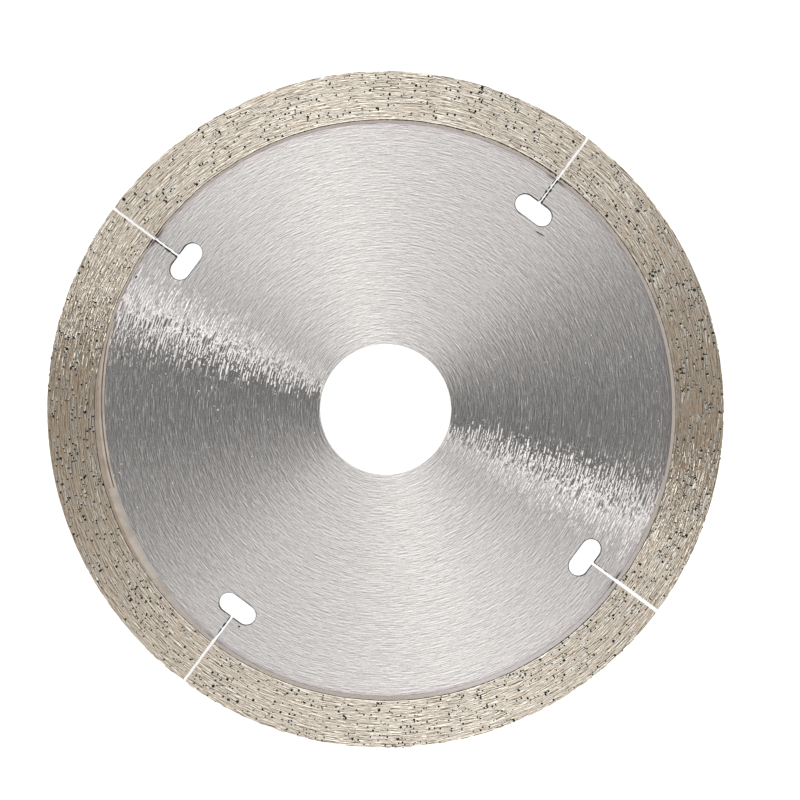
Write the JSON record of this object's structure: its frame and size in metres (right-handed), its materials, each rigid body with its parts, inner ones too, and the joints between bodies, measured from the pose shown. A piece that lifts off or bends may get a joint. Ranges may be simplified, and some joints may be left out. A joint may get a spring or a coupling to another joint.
{
  "type": "continuous rim diamond blade",
  "caption": "Round flat cutting blade: brushed steel core with a central bore, radial cooling slots ending in oblong relief holes, and a tan sintered diamond grit rim.",
  "frame": {"origin": "on the blade's axis, in the plane of the rim's underside that it lies on", "axes": "+Z along the bore's axis and up out of the face in the picture, +X to the picture's right, +Y to the picture's top"},
  "size_m": [0.115, 0.115, 0.0016],
  "materials": {
    "core_steel": "brushed in circles, light heat tint beside the rim",
    "rim_bond": "ground sintered bronze bond, tan, full of dark diamond grit"
  },
  "bodies": {
    "root": {"steel_core": "core_steel", "rim_arc_top": "rim_bond", "rim_arc_left": "rim_bond", "rim_arc_bottom": "rim_bond", "rim_arc_right": "rim_bond"}
  },
  "joints": []
}
